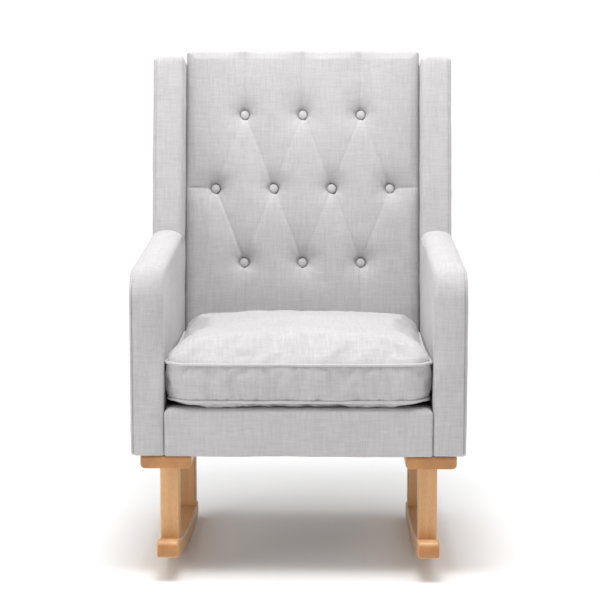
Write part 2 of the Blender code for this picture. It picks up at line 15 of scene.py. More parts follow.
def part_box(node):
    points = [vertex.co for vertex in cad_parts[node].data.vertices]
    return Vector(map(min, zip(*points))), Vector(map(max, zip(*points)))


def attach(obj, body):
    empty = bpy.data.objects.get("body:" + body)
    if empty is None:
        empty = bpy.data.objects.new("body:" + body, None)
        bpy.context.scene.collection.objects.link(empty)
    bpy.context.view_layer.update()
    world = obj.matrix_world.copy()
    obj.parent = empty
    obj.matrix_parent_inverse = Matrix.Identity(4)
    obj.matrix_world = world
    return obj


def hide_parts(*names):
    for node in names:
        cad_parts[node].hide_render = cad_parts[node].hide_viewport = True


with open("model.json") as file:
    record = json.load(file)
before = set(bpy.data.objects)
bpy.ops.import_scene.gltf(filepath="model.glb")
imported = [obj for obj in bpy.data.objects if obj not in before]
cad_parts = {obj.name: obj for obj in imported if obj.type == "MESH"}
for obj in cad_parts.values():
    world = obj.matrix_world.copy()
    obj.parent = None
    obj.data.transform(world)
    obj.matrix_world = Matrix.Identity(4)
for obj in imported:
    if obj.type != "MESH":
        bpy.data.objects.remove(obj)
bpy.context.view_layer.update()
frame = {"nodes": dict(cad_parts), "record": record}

# Dimensions of the CAD model that the finished pieces repeat ----------------------------------
FRONT_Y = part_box("left_arm_top_pad")[0].y  # front of the arms
BODY_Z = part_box("left_arm_top_pad")[0].z
INSIDE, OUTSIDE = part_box("right_arm_top_pad")[0].x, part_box("right_arm_top_pad")[1].x
PANEL_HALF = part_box("back_panel")[1].x
RAIL_TOP_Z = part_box("front_rail_pad")[1].z
RECLINE = math.radians(9.6)
BACK_Y, BACK_Z = FRONT_Y + 0.4633, 0.2500
BACK_HEIGHT = 0.777
BACK_FOOT = 0.086
BACK_DEPTH = 0.115
ARM_CREST_Y, ARM_CREST_Z = FRONT_Y + 0.445, 0.630
ARM_SLOPE = math.tan(math.radians(5.0))
ARM_FRONT_RADIUS = 0.065
WING_FRONT, WING_HEIGHT = -0.081, 0.757
BUTTON_ROWS = ((0.310, 3), (0.473, 4), (0.636, 3))
BUTTON_PITCH = 0.1275
RUNNER_RADIUS, RUNNER_THICKNESS = 1.57, 0.035
CONTACT_Y, CONTACT_FLAT = FRONT_Y + 0.340, 0.090
CUSHION_LOW_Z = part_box("seat_cushion")[0].z
SEAM_ZS = {
    level: (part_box(f"{level}_piping")[0].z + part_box(f"{level}_piping")[1].z) / 2
    for level in ("lower", "upper")
}


def back_point(v, w):
    """Y and Z of a point v behind the back panel's front plane and w up along the recline."""
    return (
        BACK_Y + w * math.sin(RECLINE) + v * math.cos(RECLINE),
        BACK_Z + w * math.cos(RECLINE) - v * math.sin(RECLINE),
    )


def back_y(v, z):
    return BACK_Y + v / math.cos(RECLINE) + (z - BACK_Z) * math.tan(RECLINE)


def arm_top(y):
    return ARM_CREST_Z + ARM_SLOPE * (y - ARM_CREST_Y)


def runner_z(y, height=0.0):
    """Z of the runner's rolling surface at y, or of the curve a height above it."""
    centre_z = math.sqrt(RUNNER_RADIUS ** 2 - (CONTACT_FLAT / 2) ** 2)
    if height == 0.0 and abs(y - CONTACT_Y) < CONTACT_FLAT / 2:
        return 0.0
    return centre_z - math.sqrt((RUNNER_RADIUS - height) ** 2 - (y - CONTACT_Y) ** 2)


# Materials --------------------------------------------------------------------------------------

class Shader:
    """A Principled material with helpers that add and join nodes."""

    def __init__(self, name, **settings):
        self.material = bpy.data.materials.new(name)
        self.material.use_nodes = True
        self.tree = self.material.node_tree
        self.surface = self.tree.nodes["Principled BSDF"]
        for socket, value in settings.items():
            self.surface.inputs[socket.replace("_", " ")].default_value = value

    def node(self, kind, inputs=None, **settings):
        made = self.tree.nodes.new(kind)
        for key, value in settings.items():
            setattr(made, key, value)
        for key, value in (inputs or {}).items():
            if isinstance(value, bpy.types.NodeSocket):
                self.tree.links.new(value, made.inputs[key])
            else:
                made.inputs[key].default_value = value
        return made

    def math(self, operation, first, second=None):
        inputs = {0: first} if second is None else {0: first, 1: second}
        return self.node("ShaderNodeMath", inputs, operation=operation).outputs[0]

    def ramp(self, value, stops):
        made = self.node("ShaderNodeValToRGB", {"Fac": value})
        elements = made.color_ramp.elements
        for index, (position, colour) in enumerate(stops):
            element = elements[index] if index < 2 else elements.new(position)
            element.position = position
            element.color = (*colour, 1.0) if len(colour) == 3 else colour
        return made.outputs["Color"]

    def spread(self, value, low, high, to_low, to_high):
        return self.node(
            "ShaderNodeMapRange",
            {"Value": value, "From Min": low, "From Max": high, "To Min": to_low, "To Max": to_high},
        ).outputs["Result"]

    def noise(self, place, scale, detail=3.0, rough=0.55):
        moved = self.node("ShaderNodeVectorMath", {0: place, 1: scale}, operation="MULTIPLY").outputs[0]
        inputs = {"Vector": moved, "Scale": 1.0, "Detail": detail, "Roughness": rough}
        return self.node("ShaderNodeTexNoise", inputs).outputs["Fac"]

    def set(self, socket, value):
        self.tree.links.new(value, self.surface.inputs[socket])

    def bump(self, height, distance, strength):
        made = self.node("ShaderNodeBump", {"Height": height, "Distance": distance, "Strength": strength})
        self.set("Normal", made.outputs["Normal"])


def linen(name, light, dark, thread, slub):
    """Plain-woven cloth on UVs in metres: threads, slubs along both ways and a slow change of tone."""
    shader = Shader(name, Sheen_Weight=0.22, Sheen_Roughness=0.45)
    shader.surface.inputs["Specular IOR Level"].default_value = 0.22
    place = shader.node("ShaderNodeUVMap").outputs["UV"]
    parts = shader.node("ShaderNodeSeparateXYZ", {"Vector": place}).outputs
    turns = 2 * math.pi / thread
    across = shader.math("SINE", shader.math("MULTIPLY", parts["X"], turns))
    along = shader.math("SINE", shader.math("MULTIPLY", parts["Y"], turns))
    weave = shader.math("MULTIPLY", across, along)
    weft = shader.noise(place, (34.0, 620.0, 1.0), 2.0, 0.6)
    warp = shader.noise(place, (560.0, 30.0, 1.0), 2.0, 0.6)
    slubs = shader.math("ADD", weft, warp)
    speckle = shader.noise(place, (900.0, 900.0, 1.0), 1.0, 0.5)
    weft_bands = shader.noise(place, (14.0, 190.0, 1.0), 2.0, 0.55)
    warp_bands = shader.noise(place, (170.0, 12.0, 1.0), 2.0, 0.55)
    bands = shader.math("ADD", weft_bands, warp_bands)
    cloud = shader.noise(place, (7.0, 9.0, 1.0), 2.0, 0.5)
    threads = shader.spread(slubs, 0.72, 1.28, -slub, slub)
    grain = shader.spread(speckle, 0.3, 0.7, -0.08, 0.08)
    tone = shader.spread(cloud, 0.3, 0.7, 0.42, 0.58)
    tone = shader.math("ADD", shader.math("ADD", tone, threads), grain)
    tone = shader.math("ADD", tone, shader.spread(bands, 0.72, 1.28, -0.13, 0.13))
    shader.set("Base Color", shader.ramp(tone, [(0.0, dark), (1.0, light)]))
    shader.set("Roughness", shader.spread(slubs, 0.7, 1.3, 0.84, 0.96))
    height = shader.math("ADD", shader.math("MULTIPLY", weave, 0.25), slubs)
    shader.bump(height, 0.0005, 0.40)
    return shader.material


def beech(name, along):
    """Oiled beech with straight grain and fine brown flecks that run along one axis."""
    shader = Shader(name, Coat_Weight=0.16, Coat_Roughness=0.28)
    place = shader.node("ShaderNodeTexCoord").outputs["Object"]

    def stretched(across, down):
        return tuple(down if axis == along else across for axis in "xyz")

    figure = shader.noise(place, stretched(26.0, 2.2), 4.0, 0.55)
    grain = shader.noise(place, stretched(330.0, 9.0), 3.0, 0.6)
    flecks = shader.noise(place, stretched(1150.0, 120.0), 1.0, 0.4)
    pores = shader.noise(place, stretched(1900.0, 60.0), 2.0, 0.6)
    tone = shader.math("ADD", shader.math("MULTIPLY", figure, 0.75), shader.math("MULTIPLY", grain, 0.22))
    wood = shader.ramp(
        tone, [(0.30, (0.500, 0.262, 0.105)), (0.72, (0.715, 0.432, 0.210)), (0.54, (0.625, 0.352, 0.155))]
    )
    mark = shader.spread(flecks, 0.60, 0.72, 0.0, 0.55)
    marked = shader.node(
        "ShaderNodeMix", {"Factor": mark, "A": wood, "B": (0.36, 0.155, 0.055, 1.0)}, data_type="RGBA"
    )
    # Faces across the grain are multiplied darker: partly the darker end grain of beech, partly painted shade
    # for the plank and runner ends under the seat.
    normal = shader.node("ShaderNodeTexCoord").outputs["Normal"]
    facing = shader.node("ShaderNodeSeparateXYZ", {"Vector": normal}).outputs[along.upper()]
    end_grain_and_painted_shade = shader.spread(shader.math("ABSOLUTE", facing), 0.55, 0.85, 0.0, 1.0)
    shaded_end_grain = shader.node(
        "ShaderNodeMix", {"Factor": end_grain_and_painted_shade, "A": marked.outputs["Result"], "B": (0.74, 0.60, 0.46, 1.0)},
        data_type="RGBA", blend_type="MULTIPLY",
    )
    shader.set("Base Color", shaded_end_grain.outputs["Result"])
    shader.set("Roughness", shader.spread(pores, 0.3, 0.7, 0.36, 0.54))
    shader.bump(shader.math("ADD", pores, shader.math("MULTIPLY", grain, 0.6)), 0.00025, 0.35)
    return shader.material


def plywood(name):
    """Unfinished frame wood with glued layers and rough sawn faces."""
    shader = Shader(name)
    place = shader.node("ShaderNodeTexCoord").outputs["Object"]
    layers = shader.node(
        "ShaderNodeTexWave", {"Vector": place, "Scale": 95.0, "Distortion": 1.6, "Detail": 2.0}
    ).outputs["Fac"]
    grain = shader.noise(place, (40.0, 6.0, 90.0), 4.0)
    tone = shader.math("ADD", shader.math("MULTIPLY", layers, 0.35), shader.math("MULTIPLY", grain, 0.8))
    shader.set("Base Color", shader.ramp(tone, [(0.25, (0.44, 0.29, 0.15)), (0.85, (0.72, 0.56, 0.36))]))
    shader.set("Roughness", shader.spread(grain, 0.3, 0.7, 0.62, 0.82))
    shader.bump(grain, 0.0006, 0.5)
    return shader.material


def brushed_steel(name):
    shader = Shader(name, Metallic=1.0)
    place = shader.node("ShaderNodeTexCoord").outputs["Object"]
    scratches = shader.noise(place, (900.0, 900.0, 40.0), 3.0)
    stain = shader.noise(place, (30.0, 30.0, 30.0), 3.0)
    shader.set("Base Color", shader.ramp(stain, [(0.3, (0.44, 0.44, 0.45)), (0.7, (0.63, 0.63, 0.62))]))
    shader.set("Roughness", shader.spread(scratches, 0.3, 0.7, 0.24, 0.44))
    shader.bump(scratches, 0.0001, 0.4)
    return shader.material


def lining(name, light, dark):
    """Spun lining cloth: pressed fibres in all directions with a dimpled surface."""
    shader = Shader(name, Sheen_Weight=0.1)
    place = shader.node("ShaderNodeTexCoord").outputs["Object"]
    fibres = shader.noise(place, (700.0, 260.0, 700.0), 4.0, 0.7)
    dimples = shader.node("ShaderNodeTexVoronoi", {"Vector": place, "Scale": 700.0}).outputs["Distance"]
    shader.set("Base Color", shader.ramp(fibres, [(0.35, dark), (0.70, light)]))
    shader.set("Roughness", shader.spread(fibres, 0.3, 0.7, 0.78, 0.95))
    shader.bump(shader.math("ADD", fibres, dimples), 0.0004, 0.5)
    return shader.material


FABRIC = linen("grey_linen", (0.560, 0.549, 0.553), (0.385, 0.375, 0.378), 0.0016, 0.24)
PIPING = linen("grey_linen_piping", (0.585, 0.577, 0.583), (0.450, 0.442, 0.447), 0.0013, 0.16)
BEECH_Y, BEECH_Z = beech("beech_lengthwise", "y"), beech("beech_upright", "z")
PLYWOOD = plywood("frame_plywood")
STEEL = brushed_steel("zinc_steel")
LINING = lining("black_lining", (0.050, 0.050, 0.055), (0.018, 0.018, 0.020))
DECK = lining("seat_platform_cloth", (0.10, 0.10, 0.11), (0.035, 0.035, 0.040))


# Mesh making ------------------------------------------------------------------------------------

def add_piece(name, shape, material, body, replaces=(), crisp=False):
    """A finished piece from a bmesh, with UVs in metres laid flat on each face's main plane."""
    bmesh.ops.recalc_face_normals(shape, faces=shape.faces)
    layer = shape.loops.layers.uv.new("UVMap")
    for face in shape.faces:
        face.smooth = True
        main = max(range(3), key=lambda axis: abs(face.normal[axis]))
        across, up = [axis for axis in range(3) if axis != main]
        for loop in face.loops:
            loop[layer].uv = (loop.vert.co[across], loop.vert.co[up])
    mesh = bpy.data.meshes.new(name)
    shape.to_mesh(mesh)
    shape.free()
    mesh.materials.append(material)
    item = bpy.data.objects.new(name, mesh)
    bpy.context.scene.collection.objects.link(item)
    if crisp:
        mesh.set_sharp_from_angle(angle=math.radians(42))
        item.modifiers.new("flat faces", "WEIGHTED_NORMAL").keep_sharp = True
    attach(item, body)
    if replaces:
        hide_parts(*replaces)
    return item


def skin(shape, rings):
    """Faces between each closed ring of points and the next; a ring of one point makes a tip."""
    for ring, following in zip(rings, rings[1:]):
        count = max(len(ring), len(following))
        for step in range(count):
            after = (step + 1) % count
            if len(ring) == 1:
                shape.faces.new((ring[0], following[after], following[step]))
            elif len(following) == 1:
                shape.faces.new((ring[step], ring[after], following[0]))
            else:
                shape.faces.new((ring[step], ring[after], following[after], following[step]))


def rim_of(cols, rows):
    """The grid places on the edge of a grid, once round."""
    there = [(i, 0) for i in range(cols)] + [(cols, j) for j in range(rows)]
    return there + [(i, rows) for i in range(cols, 0, -1)] + [(0, j) for j in range(rows, 0, -1)]


def straight(start, end, count=24):
    start, end = Vector(start), Vector(end)
    return [start.lerp(end, step / count) for step in range(count + 1)]


def outline(corners, count=24):
    """The four straight sides between four corners, each as a list of points."""
    return [straight(corners[k], corners[(k + 1) % 4], count) for k in range(4)]


def rounded_lines(lines, radii, steps=8):
    """Four lines round a side face, each a list of points, with their shared corners rounded."""
    lines = [[Vector(point) for point in line] for line in lines]
    for index, radius in enumerate(radii):
        if not radius:
            continue
        line, following = lines[index], lines[(index + 1) % 4]
        corner = line[-1]
        back = (line[-2] - corner).normalized()
        ahead = (following[1] - corner).normalized()
        half_angle = back.angle(ahead) / 2
        reach = radius / math.tan(half_angle)
        centre = corner + (back + ahead).normalized() * radius / math.sin(half_angle)
        start, end = corner + back * reach - centre, corner + ahead * reach - centre
        turns = [start.slerp(end, step / steps).normalized() * radius + centre for step in range(steps + 1)]
        while len(line) > 1 and (line[-2] - corner).length < reach:
            line.pop(-2)
        while len(following) > 1 and (following[1] - corner).length < reach:
            following.pop(1)
        line[-1:] = turns[: steps // 2 + 1]
        following[:1] = turns[steps // 2:]
    return lines


def resample(line, count, bend_weight=0.02):
    """The line at count + 1 points, closer together where it bends."""
    points = np.array([tuple(point) for point in line])
    steps = np.diff(points, axis=0)
    lengths = np.linalg.norm(steps, axis=1)
    headings = np.unwrap(np.arctan2(steps[:, 1], steps[:, 0]))
    turns = np.abs(np.diff(headings, prepend=headings[:1])) / 2
    weights = lengths + bend_weight * (turns + np.append(turns[1:], 0.0))
    along = np.concatenate([[0.0], np.cumsum(weights)])
    at = np.linspace(0.0, along[-1], count + 1)
    return np.stack([np.interp(at, along, points[:, axis]) for axis in range(2)], axis=1)


def edge_profile(distance, reach, drop, power):
    """How far a surface has fallen at a distance from its edge: a quarter of a superellipse."""
    share = np.clip(1.0 - distance / reach, 0.0, 1.0)
    return drop * (1.0 - (1.0 - share ** power) ** (1.0 / power))


def stations(low, high, reaches, spacing, marks=(), mark_width=0.0):
    """Places across a block: crowded in its rounded edges and beside each seam."""
    turns = [math.pi / 2 * step / 9 for step in range(10)]
    places = [low + reaches[0] * (1 - math.cos(turn)) for turn in turns]
    places += [high - reaches[1] * (1 - math.cos(turn)) for turn in turns]
    first, last = low + reaches[0], high - reaches[1]
    count = max(1, math.ceil((last - first) / spacing))
    places += [first + (last - first) * step / count for step in range(1, count)]
    for mark in marks:
        places = [place for place in places if abs(place - mark) > 2.2 * mark_width or place in (low, high)]
        places += [mark + mark_width * step / 2 for step in range(-4, 5)]
    places.sort()
    kept = [places[0]]
    for place in places[1:]:
        if place - kept[-1] > 1e-5:
            kept.append(place)
    return np.array(kept)


SIDES = ("bottom", "rear", "top", "front")
OUTWARD = {"bottom": (0.0, -1.0), "rear": (1.0, 0.0), "top": (0.0, 1.0), "front": (-1.0, 0.0)}


def soft_block(
    lines, counts, low, high, edges, power=2.3, spacing=0.008, seams=(), seam_depth=0.0,
    seam_width=0.0, relief=None, lean=0.0,
):
    """A closed block: four lines (bottom, rear, top, front) in one plane, carried across it.

    edges[side] is ((reach, drop) at the low end, (reach, drop) at the high end), which rounds the block
    from that side into the two end faces. A seam is (place, sides) and sinks a fine groove there.
    relief(across, a, b, side weights) moves the surface outwards. The result is a bmesh in (a, b, across)
    order with its end faces as grids.
    """
    nu, nv = counts
    bottom, rear, top, front = (
        resample(line, count) for line, count in zip(lines, (nu, nv, nu, nv))
    )
    loop = np.concatenate([bottom[:-1], rear[:-1], top[:-1], front[:-1]])
    total = len(loop)
    tangent = np.roll(loop, -1, axis=0) - np.roll(loop, 1, axis=0)
    tangent /= np.linalg.norm(tangent, axis=1)[:, None]
    normal = np.stack([tangent[:, 1], -tangent[:, 0]], axis=1)
    turned = np.stack(
        [
            normal[:, 0] * math.cos(lean) - normal[:, 1] * math.sin(lean),
            normal[:, 0] * math.sin(lean) + normal[:, 1] * math.cos(lean),
        ],
        axis=1,
    )
    weights = {
        side: np.maximum(0.0, turned @ np.array(OUTWARD[side])) ** 2 for side in SIDES
    }
    reaches = [max(edges[side][end][0] for side in SIDES) for end in (0, 1)]
    places = stations(low, high, reaches, spacing, [seam[0] for seam in seams], seam_width)
    rings = []
    for place in places:
        inset = np.zeros(total)
        for side in SIDES:
            for distance, (reach, drop) in zip((place - low, high - place), edges[side]):
                if drop:
                    inset += weights[side] * edge_profile(distance, reach, drop, power)
        for mark, sides in seams:
            share = sum(weights[side] for side in sides)
            inset += share * seam_depth * math.exp(-(((place - mark) / seam_width) ** 2) * 2)
        points = loop - normal * inset[:, None]
        if relief is not None:
            points = points + normal * relief(place, points[:, 0], points[:, 1], weights)[:, None]
        rings.append(points)
    shape = bmesh.new()
    verts = [[shape.verts.new((a, b, place)) for a, b in ring] for place, ring in zip(places, rings)]
    skin(shape, verts)
    s, t = np.meshgrid(np.linspace(0, 1, nu + 1), np.linspace(0, 1, nv + 1), indexing="ij")
    for end in (0, -1):
        ring = rings[end]
        low_line, high_line = ring[: nu + 1], ring[nu + nv: 2 * nu + nv + 1][::-1]
        back_line = ring[nu: nu + nv + 1]
        front_line = np.concatenate([ring[:1], ring[2 * nu + nv:][::-1]])
        grid = (
            low_line[:, None] * (1 - t)[..., None] + high_line[:, None] * t[..., None]
            + front_line[None] * (1 - s)[..., None] + back_line[None] * s[..., None]
            - front_line[0] * ((1 - s) * (1 - t))[..., None] - back_line[0] * (s * (1 - t))[..., None]
            - front_line[-1] * ((1 - s) * t)[..., None] - back_line[-1] * (s * t)[..., None]
        )
        cells = {}
        ring_verts = verts[end]
        for i in range(nu + 1):
            for j in range(nv + 1):
                if j == 0:
                    cells[i, j] = ring_verts[i]
                elif i == nu:
                    cells[i, j] = ring_verts[nu + j]
                elif j == nv:
                    cells[i, j] = ring_verts[2 * nu + nv - i]
                elif i == 0:
                    cells[i, j] = ring_verts[total - j]
                else:
                    a, b = grid[i, j]
                    cells[i, j] = shape.verts.new((a, b, places[end]))
        for i in range(nu):
            for j in range(nv):
                shape.faces.new((cells[i, j], cells[i + 1, j], cells[i + 1, j + 1], cells[i, j + 1]))
    return shape


def turned_to(shape, order):
    """Send the block's (a, b, across) to world axes: "yzx" for side views, "xzy" for cross-sections."""
    for vert in shape.verts:
        found = dict(zip(order, vert.co))
        vert.co = (found["x"], found["y"], found["z"])
    return shape


def soften(shape, size, depth, seed, moves=None):
    """Small uneven swells of stuffed cloth, the same on every run, where moves(place) allows them."""
    shape.normal_update()
    shift = Vector((seed * 3.71, seed * 1.93, seed * 5.17))
    for vert in shape.verts:
        amount = noise.noise(vert.co / size + shift) + 0.5 * noise.noise(vert.co / size * 2.3 - shift)
        vert.co += vert.normal * depth * amount * (moves(vert.co) if moves else 1.0)


def smooth_step(value, low, high):
    share = min(1.0, max(0.0, (value - low) / (high - low)))
    return share * share * (3 - 2 * share)


# Arms and wings ---------------------------------------------------------------------------------

def arm_lines():
    """Side view of an arm: level foot, reclined rear, sloping top and a rounded front."""
    slope_angle = math.atan(ARM_SLOPE)
    rise = ARM_SLOPE * ARM_FRONT_RADIUS - ARM_FRONT_RADIUS * math.hypot(1.0, ARM_SLOPE)
    centre = Vector((FRONT_Y + ARM_FRONT_RADIUS, arm_top(FRONT_Y) + rise))
    turn = math.pi / 2 - slope_angle
    angles = [math.pi - turn * step / 16 for step in range(17)]
    arc = [centre + ARM_FRONT_RADIUS * Vector((math.cos(angle), math.sin(angle))) for angle in angles]
    middle = arc[8]
    foot_z = BODY_Z + 0.0004
    rear_v = BACK_DEPTH - 0.0003
    rear_top_z = arm_top(back_y(rear_v, ARM_CREST_Z))
    foot_front, foot_rear = (FRONT_Y, foot_z), (back_y(rear_v, foot_z), foot_z)
    rear_top = (back_y(rear_v, rear_top_z), rear_top_z)
    bottom = straight(foot_front, foot_rear)
    rear = straight(foot_rear, rear_top)
    top = straight(rear_top, arc[16]) + arc[8:16][::-1]
    front = [middle] + arc[:8][::-1] + straight(arc[0], foot_front)[1:]
    return rounded_lines([bottom, rear, top, front], (0.008, 0.006, 0.0, 0.009))


def wing_lines():
    """Side view of a wing: it stands a little inside the arm and leans with the back."""
    sink = 0.030
    rear_v = BACK_DEPTH - 0.0003

    def foot(v):
        z = ARM_CREST_Z
        for _ in range(6):
            z = arm_top(back_y(v, z)) - sink
        return back_y(v, z), z

    front_foot, rear_foot = foot(WING_FRONT), foot(rear_v)
    front_top, rear_top = back_point(WING_FRONT, WING_HEIGHT), back_point(rear_v, WING_HEIGHT)
    return rounded_lines(outline([front_foot, rear_foot, rear_top, front_top]), (0.0, 0.014, 0.020, 0.0))


def alike(**edges):
    """Edge roundings that are the same at both ends: side=(reach, drop)."""
    return {side: (pair, pair) for side, pair in edges.items()}


def mirrored(edges, sign):
    """Edge roundings are written (inner, outer); the left side's low end is its outer one."""
    return {side: pair if sign > 0 else pair[::-1] for side, pair in edges.items()}


def add_arm(side, sign):
    low, high = sorted((sign * INSIDE, sign * OUTSIDE))
    edges = {
        "top": ((0.034, 0.018), (0.033, 0.018)),
        "front": ((0.014, 0.011), (0.009, 0.008)),
        "rear": ((0.005, 0.003), (0.010, 0.007)),
        "bottom": ((0.005, 0.003), (0.010, 0.007)),
    }
    seam_x = sign * (OUTSIDE - 0.0056)
    ease_width, ease_depth = 0.050, 0.017
    ease_z, ease_rise = 0.365, 0.090

    def relief(across, y, z, weights):
        """The front and top swell a little; above the cushion the front eases back towards the inside."""
        rise = np.clip((z - BODY_Z) / 0.36, 0.0, 1.0)
        swell = 0.0016 * weights["front"] * np.sin(math.pi * rise) + 0.0010 * weights["top"]
        inner = np.clip(1.0 - (abs(across) - INSIDE) / ease_width, 0.0, 1.0)
        above = np.clip((z - ease_z) / ease_rise, 0.0, 1.0)
        above = above * above * (3.0 - 2.0 * above)
        return swell - ease_depth * weights["front"] * above * inner ** 2

    shape = soft_block(
        arm_lines(), (74, 48), low, high, mirrored(edges, sign), seams=[(seam_x, ("front",))],
        seam_depth=0.0030, seam_width=0.0013, relief=relief,
    )
    turned_to(shape, "yzx")
    soften(shape, 0.085, 0.0011, 2 + sign)
    soften(shape, 0.022, 0.00022, 5 + sign)
    nodes = [f"{side}_arm_{part}_pad" for part in ("inner", "outer", "top")]
    arm = add_piece(f"{side}_arm_cover", shape, FABRIC, "chair", nodes)


def add_wing(side, sign):
    low, high = sorted((sign * INSIDE, sign * (OUTSIDE + 0.0004)))
    edges = {
        "top": ((0.026, 0.013), (0.028, 0.026)),
        "front": ((0.016, 0.009), (0.016, 0.011)),
        "rear": ((0.004, 0.002), (0.010, 0.006)),
        "bottom": ((0.004, 0.0), (0.004, 0.0)),
    }
    seam_x = sign * (OUTSIDE - 0.0058)

    def relief(across, y, z, weights):
        return 0.0012 * weights["front"]

    shape = soft_block(
        wing_lines(), (30, 52), low, high, mirrored(edges, sign), seams=[(seam_x, ("front", "top"))],
        seam_depth=0.0020, seam_width=0.0013, relief=relief, lean=RECLINE,
    )
    turned_to(shape, "yzx")
    soften(shape, 0.080, 0.0010, 8 + sign)
    soften(shape, 0.022, 0.00022, 11 + sign)
    wing = add_piece(f"{side}_wing_cover", shape, FABRIC, "chair", [f"{side}_wing_pad"])


def add_rail_cover():
    """The padded front rail under the cushion, with soft upper corners."""
    low, high = -PANEL_HALF, PANEL_HALF
    rear_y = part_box("front_rail_pad")[1].y
    foot_z, top_z = BODY_Z + 0.0002, RAIL_TOP_Z
    front_y = FRONT_Y + 0.0006
    corners = [(front_y, foot_z), (rear_y, foot_z), (rear_y, top_z), (front_y, top_z)]
    lines = rounded_lines(outline(corners), (0.0, 0.004, 0.012, 0.004))
    edges = alike(top=(0.017, 0.012), front=(0.010, 0.005), rear=(0.004, 0.001), bottom=(0.006, 0.003))
    shape = soft_block(lines, (12, 20), low, high, edges, spacing=0.007)
    turned_to(shape, "yzx")
    soften(shape, 0.090, 0.0010, 21)
    soften(shape, 0.020, 0.00022, 22)
    cover = add_piece("front_rail_cover", shape, FABRIC, "chair", ["front_rail_pad"])


# Back -------------------------------------------------------------------------------------------

def button_places():
    """(x, w) of the tufting buttons, row by row from the lowest."""
    return [
        ((place - (count - 1) / 2) * BUTTON_PITCH, w)
        for w, count in BUTTON_ROWS
        for place in range(count)
    ]


def pleats():
    """Folds between buttons and from them to the panel's edges: (start, end, strength)."""
    rows = []
    places = iter(button_places())
    for _, count in BUTTON_ROWS:
        rows.append([next(places) for _ in range(count)])
    low, middle, top = rows
    found = []
    for upper, lower in ((top, middle), (middle, low)):
        for first in upper:
            for second in lower:
                if abs(first[0] - second[0]) < 0.51 * BUTTON_PITCH:
                    falls_right = second[0] > first[0]
                    found.append((first, second, 1.0 if falls_right else 0.35))
    found += [((x, w), (x, BACK_HEIGHT), 0.95) for x, w in top]
    found += [((x, w), (x, BACK_FOOT), 0.8) for x, w in low]
    for x, w in (middle[0], middle[-1]):
        found.append(((x, w), (math.copysign(PANEL_HALF, x), w), 0.8))
    return found


def tufting(across, w):
    """How far the panel stands in front of its plane at x = across, for each height w."""
    from_pleat = np.full(w.shape, 1.0)
    crease = np.zeros(w.shape)
    for (x0, w0), (x1, w1), strength in pleats():
        dx, dw = x1 - x0, w1 - w0
        length = math.hypot(dx, dw)
        share = np.clip(((across - x0) * dx + (w - w0) * dw) / length ** 2, 0.0, 1.0)
        off_x, off_w = across - (x0 + share * dx), w - (w0 + share * dw)
        distance = np.hypot(off_x, off_w)
        side = off_x * dw - off_w * dx
        fade = 1.0 - 0.55 * np.sin(math.pi * share)
        from_pleat = np.minimum(from_pleat, distance + 0.045 * (1.0 - strength))
        groove = 0.0034 * np.exp(-((distance / 0.0026) ** 2))
        lap = 0.0018 * np.tanh(side / length / 0.0020) * np.exp(-distance / 0.018)
        crease += strength * fade * (-groove + strength ** 3 * lap)
    from_button = np.full(w.shape, 1.0)
    pucker = np.zeros(w.shape)
    for x, button_w in button_places():
        off_x, off_w = across - x, w - button_w
        distance = np.hypot(off_x, off_w)
        from_button = np.minimum(from_button, distance)
        angle = np.arctan2(off_w, off_x)
        pucker += 0.0002 * np.cos(9 * angle + 17 * x) * np.exp(-(((distance - 0.022) / 0.012) ** 2))
    pillow = 0.0060 * (1.0 - np.exp(-((from_pleat / 0.030) ** 1.4)))
    dimple = 0.0150 * np.exp(-((np.maximum(from_button - 0.005, 0.0) / 0.0205) ** 1.1))
    dimple += 0.0075 * np.exp(-((from_button / 0.0128) ** 6))
    return pillow + crease + pucker - dimple


def add_back_panel():
    """The buttoned front of the back, wrapped over the frame's sides and top."""
    half = PANEL_HALF + 0.0003
    rear_v = BACK_DEPTH - 0.0073
    corners = [
        back_point(0.0, BACK_FOOT), back_point(rear_v, BACK_FOOT),
        back_point(rear_v, BACK_HEIGHT), back_point(0.0, BACK_HEIGHT),
    ]
    lines = rounded_lines(outline(corners, 40), (0.0, 0.004, 0.008, 0.004))
    edges = alike(top=(0.017, 0.016), front=(0.013, 0.011), rear=(0.004, 0.001), bottom=(0.004, 0.001))

    def relief(across, y, z, weights):
        w = (y - BACK_Y) * math.sin(RECLINE) + (z - BACK_Z) * math.cos(RECLINE)
        edge = np.minimum(PANEL_HALF - abs(across), BACK_HEIGHT - w)
        fade = np.clip(edge / 0.020, 0.0, 1.0)
        v = (y - BACK_Y) * math.cos(RECLINE) - (z - BACK_Z) * math.sin(RECLINE)
        behind = np.clip((v - 0.008) / 0.020, 0.0, 1.0)
        squarer = edge_profile(half - abs(across), 0.017, 0.010, 2.3)
        over_frame = weights["top"] * (0.0022 + behind * squarer)
        return weights["front"] ** 2 * tufting(across, w) * fade + over_frame

    shape = soft_block(lines, (12, 290), -half, half, edges, spacing=0.0024, relief=relief, lean=RECLINE)
    turned_to(shape, "yzx")
    soften(shape, 0.070, 0.0008, 31, moves=lambda place: abs(place.x) < half - 0.0005)
    panel = add_piece("tufted_back", shape, FABRIC, "chair", ["back_panel"])


